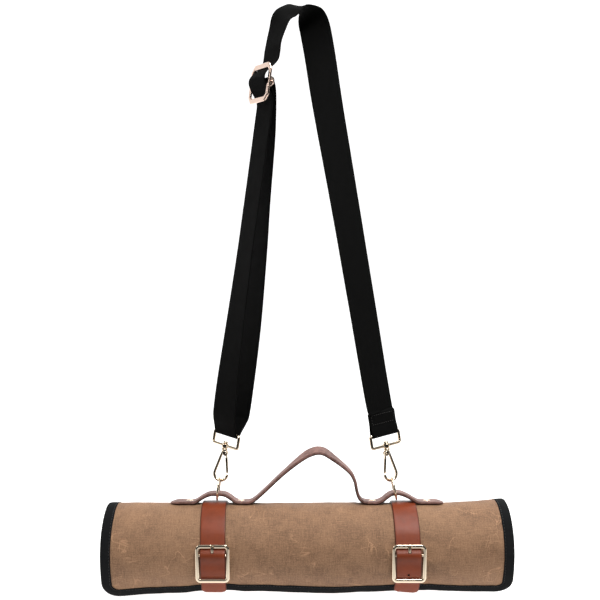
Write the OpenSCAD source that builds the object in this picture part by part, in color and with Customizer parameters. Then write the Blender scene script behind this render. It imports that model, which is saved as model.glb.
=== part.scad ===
/* [Shoulder strap] */
// Width of the shoulder webbing
web_w = 38; // [34:1:38]
// Thickness of the shoulder webbing
web_t = 1.5; // [1.2:0.1:1.6]
// Angle at which each leg of the strap leans towards the apex
lean = 9; // [8:0.5:10]

/* [Strap hardware] */
// Wire radius of the rectangular eyes' side and bottom bars
eye_r = 1.6; // [1.3:0.1:1.7]
// Distance from an eye's top bar to its bottom bar
eye_h = 15; // [14:0.5:15]
// Wire radius of the snap hook
hook_r = 1.7; // [1.4:0.1:1.8]
// Wire radius of the ring
ring_wire = 1.3; // [1.1:0.1:1.3]
// Centreline radius of the ring
ring_r = 13.2; // [13.2:0.1:13.4]

/* [Rolled canvas] */
// Length of the roll, end to end
roll_l = 478; // [440:1:500]
// Centreline radius of the outermost turn
roll_r = 50; // [50:0.1:50.2]
// Radius lost with each full turn
pitch = 12; // [11:0.5:12.5]
// Thickness of the waxed canvas
canvas_t = 1.6; // [1.2:0.1:1.6]
// Thickness of the lining
lining_t = 1; // [0.6:0.1:1]
// Width of the edge binding
bind_w = 11; // [8:1:14]

/* [Leather] */
// Width of the closing straps
strap_w = 29; // [25:1:29]
// Thickness of the closing straps
strap_t = 2.5; // [2:0.1:2.5]
// Width of the carrying handle
grip_w = 18; // [16:1:18]
// Thickness of the carrying handle
grip_t = 3; // [2.4:0.1:3]

/* [Hidden] */
$fn = 40;

gold = "#d9c19a";
black = "#1c1c1e";
brown = "#8a6a50";
tan_leather = "#8f4a36";
mauve = "#9a7468";

roll_c = [10, -11, -644];
left_bar = [-85.4, -11, -509.4];
right_bar = [102.3, -11, -509.4];
left_x = -98;
right_x = 126;

function unit(v) = v / norm(v);
function cr(a, b, c, d, t) = 0.5 * (2*b + (c - a)*t + (2*a - 5*b + 4*c - d)*t*t + (3*b - a - 3*c + d)*t*t*t);
// Points on a smooth curve through every point of P, n steps to each span
function smooth(P, n) = let(m = len(P)) [for (i = [0:m-2]) for (k = [0:n-1]) cr(P[max(i-1, 0)], P[i], P[i+1], P[min(i+2, m-1)], k/n), P[m-1]];

// Axes of a leaning piece: up its length, across its width and square to both
function up_of(s, l) = [s*sin(l), 0, cos(l)];
function across_of(s, l, az) = let(T = up_of(s, l), W = [cos(az), sin(az), 0]) unit(W - (W*T)*T);
// A row of [position, width direction]: a in front of and b above the point B of a leaning frame
function off(B, s, l, az, a, b) = let(T = up_of(s, l), W = across_of(s, l, az), p = B + a*cross(W, T) + b*T) [p[0], p[1], p[2], W[0], W[1], W[2]];
// The same from a position and the azimuth of the width
function leg(x, y, z, az) = [x, y, z, cos(az), sin(az), 0];

module place(B, s, l, az) {
  T = up_of(s, l);
  W = across_of(s, l, az);
  Y = cross(T, W);
  multmatrix([[W[0], Y[0], T[0], B[0]], [W[1], Y[1], T[1], B[1]], [W[2], Y[2], T[2], B[2]], [0, 0, 0, 1]]) children();
}

// A flat band of width w and thickness t swept along rows of [position, width direction]
module ribbon(Q, w, t) {
  n = len(Q);
  pts = [for (i = [0:n-1]) let(p = [Q[i][0], Q[i][1], Q[i][2]], a = Q[max(i-1, 0)], b = Q[min(i+1, n-1)],
    T = unit([b[0]-a[0], b[1]-a[1], b[2]-a[2]]), V = [Q[i][3], Q[i][4], Q[i][5]], W = unit(V - (V*T)*T), N = cross(W, T))
    each [p - W*w/2 - N*t/2, p + W*w/2 - N*t/2, p + W*w/2 + N*t/2, p - W*w/2 + N*t/2]];
  faces = concat([[2, 1, 0], [3, 2, 0]],
    [for (i = [0:n-2]) for (k = [0:3]) let(a = 4*i+k, b = 4*i+(k+1)%4) each [[a, b, b+4], [a, b+4, a+4]]],
    [[4*n-4, 4*n-3, 4*n-2], [4*n-4, 4*n-2, 4*n-1]]);
  polyhedron(pts, faces, convexity = 10);
}

// A round bar between two points
module rod(a, b, r) {
  d = b - a;
  translate(a) rotate([0, acos(d[2]/norm(d)), atan2(d[1], d[0])]) cylinder(r = r, h = norm(d));
}

// ---- shoulder strap ----
slider_c = [-36.3, -16, -91];
slider_lean = 7.75;
// The front run of the left leg lies on one leaning line; the return run hangs the distance g behind it
function front(z, y, az) = leg(slider_c[0] + (z - slider_c[2])*tan(slider_lean), y, z, az);
function behind(z, y, az, g) = leg(slider_c[0] + (z - slider_c[2])*tan(slider_lean) - g*sin(az), y + g*cos(az), z, az);
route = concat(
  [off(right_bar, -1, lean, 32, -1.3, 26), off(right_bar, -1, lean, 32, -1.3, 18), off(right_bar, -1, lean, 32, -1.5, 11),
   off(right_bar, -1, lean, 32, -2.6, 4), off(right_bar, -1, lean, 32, -2.3, -1.3), off(right_bar, -1, lean, 32, 0, -2.65),
   off(right_bar, -1, lean, 32, 2.3, -1.3), off(right_bar, -1, lean, 32, 2.6, 4), off(right_bar, -1, lean, 32, 1.5, 11),
   off(right_bar, -1, lean, 32, 1.3, 18), off(right_bar, -1, lean, 32, 1.3, 26)],
  [leg(95, -10, -470, 32), leg(75, -6, -350, 28), leg(55, -1, -230, 22), leg(36, 4, -120, 10), leg(27, 7, -61, 2), leg(23, 8, -37, -3),
   leg(19, 7.5, -20, -12), leg(14, 6, -7, -24), leg(8, 3, -1.5, -34), leg(0, 0, 0.8, -42), leg(-8, -3.5, -0.5, -50), leg(-15, -7.5, -5, -55),
   leg(-21, -11, -15, -58), leg(-25.5, -13.5, -28, -58), front(-46, -16, -58), front(-60, -16, -58), front(-91, -16, -58),
   front(-132, -16, -58), front(-240, -16, -58), front(-292, -16, -58), front(-370, -17, -53), front(-436, -18.5, -47)],
  [off(left_bar, 1, lean, -42, 10.5, 28), off(left_bar, 1, lean, -42, 8.5, 16), off(left_bar, 1, lean, -42, 4.6, 6),
   off(left_bar, 1, lean, -42, 2.7, 0.6), off(left_bar, 1, lean, -42, 2, -1.9), off(left_bar, 1, lean, -42, 0, -2.75), off(left_bar, 1, lean, -42, -2, -1.9), off(left_bar, 1, lean, -42, -2.7, 0.6),
   off(left_bar, 1, lean, -42, -5, 6), off(left_bar, 1, lean, -42, -10.5, 16), off(left_bar, 1, lean, -42, -13.5, 28)],
  [behind(-436, -18.5, -47, 26), behind(-370, -17, -53, 24), behind(-292, -16, -57, 19), behind(-230, -16, -58, 14), behind(-152, -16, -58, 9)]);

module shoulder_webbing() color(black) ribbon(smooth(route, 5), web_w, web_t);

// Rectangular eye with a bored boss for the swivel post
module eye() {
  hw = 21;
  difference() {
    union() {
      rod([-hw, 0, 0], [hw, 0, 0], 1.7);
      rod([-hw, 0, -eye_h], [hw, 0, -eye_h], eye_r);
      for (x = [-hw, hw]) {
        rod([x, 0, -eye_h], [x, 0, 0], eye_r);
        translate([x, 0, 0]) sphere(r = 1.7);
        translate([x, 0, -eye_h]) sphere(r = eye_r);
      }
      translate([0, 0, -17.6]) cylinder(r = 4, h = 5.2);
    }
    translate([0, 0, -18]) cylinder(r = 1.77, h = 6);
  }
}
module left_eye() color(gold) place(left_bar, 1, lean, -42) eye();
module right_eye() color(gold) place(right_bar, -1, lean, 32) eye();

// ---- slider ----
module round_rect(w, h, r) {
  square([w - 2*r, h], center = true);
  square([w, h - 2*r], center = true);
  for (x = [-1, 1], y = [-1, 1]) translate([x*(w/2 - r), y*(h/2 - r)]) circle(r = r);
}
module slider_frame() color(gold) place(slider_c, 1, slider_lean, -58) {
  translate([0, -1.1, 0]) rotate([90, 0, 0]) linear_extrude(2.8) difference() {
    round_rect(49, 50, 5);
    square([39.6, 40], center = true);
  }
  for (x = [-24.4, 20.2]) translate([x, -1.1, -5]) cube([4.2, 7.3, 10]);
}
module slider_bar() color(gold) place(slider_c, 1, slider_lean, -58) rod([-20.2, 4.3, 0], [20.2, 4.3, 0], 1.6);
fold = [[-1.85, -16], [-1.85, -8], [-1.85, -3], [-1.85, 0], [-2.57, 1.73], [-4.3, 2.45], [-6.03, 1.73], [-6.75, 0], [-6.75, -5], [-6.8, -12], [-6.8, -24]];
module slider_fold() color(black)
  ribbon(smooth([for (p = fold) off(slider_c, 1, slider_lean, -58, p[0], p[1])], 3), web_w, web_t);

// ---- swivel snap hooks ----
hook_c = -49.2;
module hook_body() {
  difference() {
    union() {
      translate([0, 0, -21.9]) cylinder(r = 3.6, h = 4);
      rod([-1.6, 0, -20.6], [-8, 0, hook_c], hook_r);
      for (y = [-3.2, 1.8]) translate([-1, y, -26.2]) cube([5.6, 1.4, 4.8]);
      translate([0, 0, hook_c]) rotate([90, 0, 0]) rotate_extrude(angle = -180) translate([8, 0]) circle(r = hook_r);
      translate([-8, 0, hook_c]) sphere(r = hook_r);
      rod([8, 0, hook_c], [8, 0, hook_c + 0.8], hook_r);
    }
    translate([0, 0, -19.6]) cylinder(r = 1.7, h = 3);
    rod([2.9, -4, -24.5], [2.9, 4, -24.5], 0.8);
  }
}
module swivel_post() {
  translate([0, 0, -19.6]) cylinder(r = 1.7, h = 8);
  translate([0, 0, -12.1]) cylinder(r = 3, h = 2.3);
}
module gate_pin() rod([2.9, -3.2, -24.5], [2.9, 3.2, -24.5], 0.8);
module gate_spring() for (y = [-1.4, 1.4]) translate([2.9, y, -24.5]) rotate([90, 0, 0]) rotate_extrude() translate([1.3, 0]) circle(r = 0.25);
module gate() difference() {
  union() {
    rod([2.9, -1, -24.5], [2.9, 1, -24.5], 2);
    translate([2.9, 0, -24.5]) rotate([0, -12.5, 0]) {
      translate([-1.5, -1, -6]) cube([3, 2, 6]);
      translate([0, 0, -22.3]) cylinder(r = 1.5, h = 18.3);
      translate([0, 0, -22.3]) sphere(r = 1.5);
    }
  }
  rod([2.9, -2, -24.5], [2.9, 2, -24.5], 0.86);
}
module on_left_hook() place(left_bar, 1, lean, -12) children();
module on_right_hook() place(right_bar, -1, lean, 24) mirror([1, 0, 0]) children();
module left_hook_body() color(gold) on_left_hook() hook_body();
module left_swivel_post() color(gold) on_left_hook() swivel_post();
module left_gate_pin() color(gold) on_left_hook() gate_pin();
module left_gate_spring() color("silver") on_left_hook() gate_spring();
module left_gate() color(gold) on_left_hook() gate();
module right_hook_body() color(gold) on_right_hook() hook_body();
module right_swivel_post() color(gold) on_right_hook() swivel_post();
module right_gate_pin() color(gold) on_right_hook() gate_pin();
module right_gate_spring() color("silver") on_right_hook() gate_spring();
module right_gate() color(gold) on_right_hook() gate();

// ---- rings: each hangs square to the roll and leans towards the middle ----
module ring(c, tilt) color(gold) translate(c) rotate([0, 90 + tilt, 0]) rotate_extrude() translate([ring_r, 0]) circle(r = ring_wire);
module left_ring() ring([-95.7, -11, -575.3], 6);
module right_ring() ring([113.7, -11, -575.1], -12);

// ---- rolled canvas: a straight flap edge, then a turn at full radius, then a shrinking spiral ----
t_full = 125;
t_end = 845;
edge_s = 21.5;
function turn_r(t) = t < t_full ? roll_r : roll_r - pitch*(t - t_full)/360;
function turn_p(t) = t < 0 ? [-roll_r*cos(-35) + (-t)*sin(35), roll_r*sin(-35) - (-t)*cos(35)] : let(f = t - 35, r = turn_r(t)) [-r*cos(f), r*sin(f)];
function turn_n(t) = t < 0 ? [-cos(35), -sin(35)] : [-cos(t - 35), sin(t - 35)];
// Outline of a layer between offsets a and b from the canvas's middle, over the parameters in L; a negative parameter is millimetres along the flap's edge
function layer(L, a, b) = concat([for (t = L) turn_p(t) + a*turn_n(t)], [for (i = [len(L)-1:-1:0]) turn_p(L[i]) + b*turn_n(L[i])]);
module along_x(x0, x1) translate([x0, roll_c[1], roll_c[2]]) rotate([90, 0, 90]) linear_extrude(x1 - x0) children();
x0 = roll_c[0] - roll_l/2;
x1 = roll_c[0] + roll_l/2;
main = concat([bind_w - edge_s, -5], [for (t = [0:5:t_end]) t]);
module rivet_holes() {
  for (x = rivet_x) translate([x, roll_c[1], roll_c[2] + 44]) cylinder(r = 1.5, h = 20);
  for (x = [left_x, right_x]) radial(x, strap_t0 - 35) translate([0, 0, 40]) cylinder(r = 1.5, h = 20);
}
module radial(x, phi) translate([x, roll_c[1], roll_c[2]]) rotate([90 - phi, 0, 0]) rotate([0, 0, 0]) children();
module outer_canvas() color(brown) difference() {
  along_x(x0 + bind_w, x1 - bind_w) polygon(layer(main, -canvas_t/2, canvas_t/2));
  rivet_holes();
}
module canvas_lining() color("#6b5b4a") difference() {
  along_x(x0 + bind_w, x1 - bind_w) polygon(layer(main, -canvas_t/2 - lining_t, -canvas_t/2));
  rivet_holes();
}
module pocket_panel() color("#7a6048") along_x(x0 + 40, x1 - 40) polygon(layer([for (t = [300:5:800]) t], -3.6, -2));
module inner_flap() color("#80654c") along_x(x0 + 30, x1 - 30) polygon(layer([for (t = [440:5:840]) t], -5, -3.8));
edge_all = concat([-edge_s, -10, -5], [for (t = [0:5:t_end]) t]);
module left_end_binding() color(black) along_x(x0, x0 + bind_w) polygon(layer(edge_all, -2.4, 1.4));
module right_end_binding() color(black) along_x(x1 - bind_w, x1) polygon(layer(edge_all, -2.4, 1.4));
module flap_binding() color(black) along_x(x0 + bind_w, x1 - bind_w) polygon(layer([-edge_s, bind_w - edge_s], -2.4, 1.4));

// ---- carrying handle: one leather strip with an arch over each ring and a raised grip ----
rivet_x = [-130, -69, 88, 153];
base_z = -591.5;
handle_path = [[-152.5, base_z], [-142, base_z], [-131, base_z], [-123, -591], [-114, -585.5], [-106, -582], [-97.5, -581.5], [-89, -582], [-82, -585.5],
  [-75, -590.5], [-69, base_z], [-61, base_z], [-56, -590.5], [-50, -586.5], [-40, -577.5], [-22, -560.5], [-4, -545], [8, -536], [16, -532], [23, -530.5], [31, -532],
  [42, -539.5], [54, -549], [62.5, -557.5], [67, -567], [69, -577], [71.5, -585], [76, -590], [82, base_z], [88, base_z], [95, -590.5], [102, -586], [110, -582],
  [119, -580.5], [128, -582], [136, -586], [144, -591], [150, base_z], [160, base_z], [172.5, base_z]];
// Outline of a strip of thickness t along the path P
function strip(P, t) = let(n = len(P), N = [for (i = [0:n-1]) let(d = unit(P[min(i+1, n-1)] - P[max(i-1, 0)])) [-d[1], d[0]]])
  concat([for (i = [0:n-1]) P[i] + N[i]*t/2], [for (i = [n-1:-1:0]) P[i] - N[i]*t/2]);
module handle_solid() translate([0, roll_c[1] + grip_w/2, 0]) rotate([90, 0, 0]) linear_extrude(grip_w) polygon(strip(smooth(handle_path, 3), grip_t));
module fold_zone(r) translate([-60, roll_c[1], -590.5]) rotate([0, 90, 0]) cylinder(r = r, h = 142);
module grip_span() translate([-59.5, roll_c[1] - 20, -592]) cube([141, 40, 80]);
module handle_strip() color(mauve) difference() {
  handle_solid();
  difference() { grip_span(); fold_zone(13.7); }
  rivet_holes();
  // the leather is pressed flat under each rivet's head
  for (x = rivet_x) translate([x, roll_c[1], roll_c[2] + roll_r + canvas_t/2 + 0.1 + grip_t]) cylinder(r = 4.7, h = 8);
}
module handle_grip() color(mauve) difference() {
  intersection() { handle_solid(); grip_span(); }
  fold_zone(14.3);
}
module handle_rivets() color(gold) for (x = rivet_x) translate([x, roll_c[1], roll_c[2]]) {
  translate([0, 0, roll_r - 3.2]) cylinder(r = 1.5, h = 7.6);
  translate([0, 0, roll_r + canvas_t/2 + 0.1 + grip_t]) cylinder(r = 4.5, h = 1.3);
  translate([0, 0, roll_r - 3.2]) cylinder(r = 4.5, h = 0.9);
}

// ---- closing straps and buckles ----
strap_t0 = 240;
buckle_f = -6.9;
function bk(u, v) = [u*sin(buckle_f) - v*cos(buckle_f), u*cos(buckle_f) + v*sin(buckle_f)];
bar_u = 10;
bar_v = 53.7;
tongue_path = concat([for (t = [strap_t0 + 10:-6:55]) turn_p(t) + 2.2*turn_n(t)],
  [bk(20.2, 48.9), bk(18, 50.4), bk(16.5, 51.8), bk(15.5, 53.2), bk(14.4, 55.2), bk(12.7, 57), bk(10, 57.9), bk(6.5, 57.2), bk(3, 55.9), bk(-1, 55), bk(-8, 54.4),
   bk(-13, 53.2), bk(-17, 51.2), bk(-20.3, 49.5), bk(-24, 47)],
  [for (s = [2, 5]) turn_p(-s) + (2.2 + 0.05*s)*turn_n(-s)], [for (s = [9:2.5:19]) turn_p(-s) + 2.8*turn_n(-s)]);
module tongue_strap(x) color(tan_leather) difference() {
  along_x(x - strap_w/2, x + strap_w/2) polygon(strip(tongue_path, strap_t));
  along_x(x - 2.2, x + 2.2) polygon([bk(5, 54), bk(17, 54), bk(17, 62), bk(5, 62)]);
  along_x(x - 2.2, x + 2.2) polygon([bk(13.2, 50.5), bk(18, 50.5), bk(18, 55), bk(13.2, 55)]);
  rivet_holes();
}
module left_tongue_strap() tongue_strap(left_x);
module right_tongue_strap() tongue_strap(right_x);
module strap_rivets() color(gold) for (x = [left_x, right_x]) radial(x, strap_t0 - 35) {
  r = turn_r(strap_t0);
  translate([0, 0, r - 3.2]) cylinder(r = 1.5, h = 7.4);
  translate([0, 0, r + 2.3 + strap_t/2]) cylinder(r = 4, h = 1.2);
  translate([0, 0, r - 3.2]) cylinder(r = 4, h = 0.9);
}
billet_path = [bk(-13, 49.8), bk(-6, 51.15), bk(0, 51.5), bk(5, 51.25), bk(8.5, 51.5), bk(10.6, 51.7), bk(11.9, 52.9), bk(12, 54.3), bk(11, 55.5), bk(9.6, 55.65), bk(8.3, 54.9),
  bk(7, 53.6), bk(4, 53.1), bk(0, 52.85), bk(-6, 52.5), bk(-13, 51.2)];
module billet(x) color(tan_leather) difference() {
  along_x(x - 11, x + 11) polygon(strip(billet_path, 1.1));
  along_x(x - 2.4, x + 2.4) polygon([bk(6.3, 51), bk(14.5, 51), bk(14.5, 57), bk(6.3, 57)]);
}
module left_billet() billet(left_x);
module right_billet() billet(right_x);
// u runs up the roll and v out of it
module on_buckle(x) translate([x, roll_c[1], roll_c[2]]) rotate([-buckle_f, 0, 0]) children();
module buckle_frame(x) color(gold) on_buckle(x) translate([0, -52.4, 0]) rotate([90, 0, 0]) linear_extrude(2.6) difference() {
  round_rect(39, 45, 5);
  square([30.5, 36], center = true);
}
module buckle_bar(x) color(gold) on_buckle(x) rod([-15.25, -bar_v, bar_u], [15.25, -bar_v, bar_u], 1.25);
module prong(x) color(gold) on_buckle(x) difference() {
  union() {
    rod([-1.5, -bar_v, bar_u], [1.5, -bar_v, bar_u], 2.4);
    translate([-1.5, -56.9, bar_u]) cube([3, 1.75, 12]);
    translate([-1.5, -55.7, bar_u]) cube([3, 1.5, 2]);
  }
  rod([-3, -bar_v, bar_u], [3, -bar_v, bar_u], 1.31);
}
module left_buckle_frame() buckle_frame(left_x);
module left_buckle_bar() buckle_bar(left_x);
module left_prong() prong(left_x);
module right_buckle_frame() buckle_frame(right_x);
module right_buckle_bar() buckle_bar(right_x);
module right_prong() prong(right_x);

shoulder_webbing();
left_eye();
right_eye();
slider_frame();
slider_bar();
slider_fold();
left_hook_body();
left_swivel_post();
left_gate_pin();
left_gate_spring();
left_gate();
right_hook_body();
right_swivel_post();
right_gate_pin();
right_gate_spring();
right_gate();
left_ring();
right_ring();
outer_canvas();
canvas_lining();
pocket_panel();
inner_flap();
left_end_binding();
right_end_binding();
flap_binding();
handle_strip();
handle_rivets();
handle_grip();
left_tongue_strap();
right_tongue_strap();
strap_rivets();
left_billet();
right_billet();
left_buckle_frame();
left_buckle_bar();
left_prong();
right_buckle_frame();
right_buckle_bar();
right_prong();
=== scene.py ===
import bpy, math
import numpy as np
from math import sin, cos, pi, radians
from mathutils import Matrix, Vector, noise


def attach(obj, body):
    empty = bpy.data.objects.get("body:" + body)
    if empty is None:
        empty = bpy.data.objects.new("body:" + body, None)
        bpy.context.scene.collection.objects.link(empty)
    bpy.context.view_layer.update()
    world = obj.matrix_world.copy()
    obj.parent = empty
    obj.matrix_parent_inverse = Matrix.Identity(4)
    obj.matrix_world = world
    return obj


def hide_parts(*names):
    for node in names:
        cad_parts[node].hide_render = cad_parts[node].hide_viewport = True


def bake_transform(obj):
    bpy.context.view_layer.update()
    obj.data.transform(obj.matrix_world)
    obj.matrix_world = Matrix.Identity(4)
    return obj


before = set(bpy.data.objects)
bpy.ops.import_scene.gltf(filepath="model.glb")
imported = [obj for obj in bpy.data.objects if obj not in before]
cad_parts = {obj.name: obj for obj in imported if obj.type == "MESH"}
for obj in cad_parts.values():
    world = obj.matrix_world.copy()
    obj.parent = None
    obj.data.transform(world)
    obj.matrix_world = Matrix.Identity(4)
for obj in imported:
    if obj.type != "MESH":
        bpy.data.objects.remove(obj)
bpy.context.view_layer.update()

MM = 0.001
scene = bpy.context.scene

# ------------------------------------------------------------------ camera, light, floor
cam_d = bpy.data.cameras.new("camera")
cam = bpy.data.objects.new("camera", cam_d)
scene.collection.objects.link(cam)
cam.location = (0.0016, -1.111, -0.3504)
cam.rotation_euler = (pi/2, 0, 0)
cam_d.sensor_width = 36
cam_d.lens = 36*1100/717
cam_d.clip_start = 0.01
scene.camera = cam
scene.view_settings.view_transform = "Standard"
scene.view_settings.look = "None"

def area(name, loc, target, size, power, col=(1, 1, 1)):
    d = bpy.data.lights.new(name, "AREA")
    d.shape = "RECTANGLE"; d.size, d.size_y = size; d.energy = power; d.color = col
    o = bpy.data.objects.new(name, d)
    o.location = loc
    o.rotation_euler = (Vector(target) - Vector(loc)).to_track_quat("-Z", "Y").to_euler()
    scene.collection.objects.link(o)
    return o

mid = (0.01, -0.01, -0.45)
area("key", (0.5, -1.0, 1.0), mid, (0.9, 0.5), 24)
area("fill", (-1.5, -0.9, 0.2), mid, (0.25, 0.9), 6)
area("top", (0.3, -0.2, 1.2), mid, (1.2, 0.5), 15)
area("back", (0.4, 1.6, 0.5), mid, (1.6, 1.2), 5)
w = bpy.data.worlds.new("studio"); scene.world = w
w.use_nodes = True
def world_nodes():
    # soft white studio with dark cards in front, so that the metal shows dark and bright bands
    t = w.node_tree; bg = t.nodes["Background"]
    tc = t.nodes.new("ShaderNodeTexCoord"); sp = t.nodes.new("ShaderNodeSeparateXYZ"); t.links.new(tc.outputs["Generated"], sp.inputs[0])
    h = t.nodes.new("ShaderNodeMath"); h.operation = "MULTIPLY_ADD"; h.inputs[1].default_value = 0.5; h.inputs[2].default_value = 0.5
    t.links.new(sp.outputs[2], h.inputs[0])
    r = t.nodes.new("ShaderNodeValToRGB"); t.links.new(h.outputs[0], r.inputs[0])
    e = r.color_ramp.elements
    stops = [(0.0, 0.7), (0.455, 0.7), (0.475, 0.07), (0.585, 0.07), (0.60, 1.5), (0.65, 1.5), (0.665, 0.08), (0.79, 0.08), (0.82, 1.3), (1.0, 1.0)]
    e[0].position, e[0].color = stops[0][0], (stops[0][1],)*3 + (1,)
    e[1].position, e[1].color = stops[-1][0], (stops[-1][1],)*3 + (1,)
    for q, c in stops[1:-1]:
        k = e.new(q); k.color = (c, c, c, 1)
    f = t.nodes.new("ShaderNodeMath"); f.operation = "MULTIPLY_ADD"; f.use_clamp = True; f.inputs[1].default_value = -2.4; f.inputs[2].default_value = 0.2
    t.links.new(sp.outputs[1], f.inputs[0])
    m = t.nodes.new("ShaderNodeMix"); m.data_type = "RGBA"; t.links.new(f.outputs[0], m.inputs[0])
    m.inputs[6].default_value = (0.75, 0.75, 0.75, 1); t.links.new(r.outputs[0], m.inputs[7])
    t.links.new(m.outputs[2], bg.inputs["Color"]); bg.inputs["Strength"].default_value = 0.34
world_nodes()

def flat_mat(name, col, rough=0.9):
    m = bpy.data.materials.new(name); m.use_nodes = True
    b = m.node_tree.nodes["Principled BSDF"]
    b.inputs["Base Color"].default_value = (*col, 1); b.inputs["Roughness"].default_value = rough
    return m

def stage_mesh():
    # floor that curves up behind into a backdrop
    pr = [(-6, 0)] + [(y, 0) for y in (0, 2.5)] + [(2.5 + 1.5*sin(a), 1.5 - 1.5*cos(a)) for a in np.linspace(0.1, pi/2, 12)] + [(4, 6)]
    v = []; f = []
    for x in (-8, 8):
        v += [(x, y, -0.715 + z) for y, z in pr]
    n = len(pr)
    for i in range(n-1):
        f.append((i, n+i, n+i+1, i+1))
    me = bpy.data.meshes.new("floor"); me.from_pydata(v, [], f); me.update()
    for p in me.polygons: p.use_smooth = True
    o = bpy.data.objects.new("floor", me); scene.collection.objects.link(o)
    # pale behind and below, falling off to grey in front, so that the underside is not lit from the floor
    k = NB("floor_pale"); y = k.sep(k.obj())[1]
    f = k.n("ShaderNodeMapRange", interpolation_type="SMOOTHSTEP"); k.l(y, f.inputs["Value"]); f.inputs["From Min"].default_value = -0.29; f.inputs["From Max"].default_value = -0.01
    k.set(Base_Color=k.mix(f.outputs[0], (0.03, 0.03, 0.03), (0.8, 0.8, 0.8)), Roughness=0.85, Emission_Strength=k.math("MULTIPLY", f.outputs[0], 0.72))
    k.b.inputs["Emission Color"].default_value = (1, 1, 1, 1); k.b.inputs["Specular IOR Level"].default_value = 0.0
    m = k.m
    me.materials.append(m)

# ------------------------------------------------------------------ node helpers
class NB:
    """Small helper for building one material."""
    def __init__(s, name):
        s.m = bpy.data.materials.new(name); s.m.use_nodes = True
        s.t = s.m.node_tree; s.b = s.t.nodes["Principled BSDF"]
    def n(s, kind, **kw):
        nd = s.t.nodes.new(kind)
        for k, v in kw.items():
            setattr(nd, k, v)
        return nd
    def l(s, a, b):
        s.t.links.new(a, b)
    def put(s, sock, v):
        if hasattr(v, "is_output"):
            s.l(v, sock)
        else:
            sock.default_value = v
    def uv(s, sx=1.0, sy=1.0):
        u = s.n("ShaderNodeUVMap", uv_map="w")
        m = s.n("ShaderNodeMapping"); s.l(u.outputs[0], m.inputs["Vector"])
        m.inputs["Scale"].default_value = (sx, sy, 1)
        return m.outputs[0]
    def obj(s, sc=1.0):
        u = s.n("ShaderNodeTexCoord")
        m = s.n("ShaderNodeMapping"); s.l(u.outputs["Object"], m.inputs["Vector"])
        m.inputs["Scale"].default_value = (sc, sc, sc) if not hasattr(sc, "__len__") else sc
        return m.outputs[0]
    def noise(s, vec, scale, detail=3, rough=0.55, dist=0.0):
        nd = s.n("ShaderNodeTexNoise"); s.l(vec, nd.inputs["Vector"])
        nd.inputs["Scale"].default_value = scale; nd.inputs["Detail"].default_value = detail
        nd.inputs["Roughness"].default_value = rough; nd.inputs["Distortion"].default_value = dist
        return nd.outputs["Fac"]
    def math(s, op, a, b=0.0, c=None, clamp=False):
        nd = s.n("ShaderNodeMath", operation=op); nd.use_clamp = clamp
        s.put(nd.inputs[0], a); s.put(nd.inputs[1], b)
        if c is not None: s.put(nd.inputs[2], c)
        return nd.outputs[0]
    def ramp(s, fac, stops):
        nd = s.n("ShaderNodeValToRGB"); s.l(fac, nd.inputs[0])
        e = nd.color_ramp.elements
        while len(e) > 1: e.remove(e[-1])
        e[0].position = stops[0][0]; e[0].color = col4(stops[0][1])
        for p, c in stops[1:]:
            x = e.new(p); x.color = col4(c)
        return nd.outputs[0]
    def mix(s, fac, a, b, mode="MIX"):
        nd = s.n("ShaderNodeMix", data_type="RGBA", blend_type=mode)
        s.put(nd.inputs[0], fac)
        s.put(nd.inputs[6], col4(a) if not hasattr(a, "is_output") else a)
        s.put(nd.inputs[7], col4(b) if not hasattr(b, "is_output") else b)
        return nd.outputs[2]
    def sep(s, vec):
        nd = s.n("ShaderNodeSeparateXYZ"); s.l(vec, nd.inputs[0]); return nd.outputs
    def wave(s, x, period, phase=0.0):
        """0..1 sine of x (metres) with the given period."""
        a = s.math("MULTIPLY_ADD", x, 2*pi/period, phase)
        return s.math("MULTIPLY_ADD", s.math("SINE", a), 0.5, 0.5)
    def bump(s, h, strength, dist):
        nd = s.n("ShaderNodeBump"); s.l(h, nd.inputs["Height"])
        nd.inputs["Strength"].default_value = strength; nd.inputs["Distance"].default_value = dist
        s.l(nd.outputs[0], s.b.inputs["Normal"])
        return nd
    def set(s, **kw):
        for k, v in kw.items():
            s.put(s.b.inputs[k.replace("_", " ")], v)

def col4(c):
    if hasattr(c, "__len__"): return (*c[:3], 1.0)
    return (c, c, c, 1.0)

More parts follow.
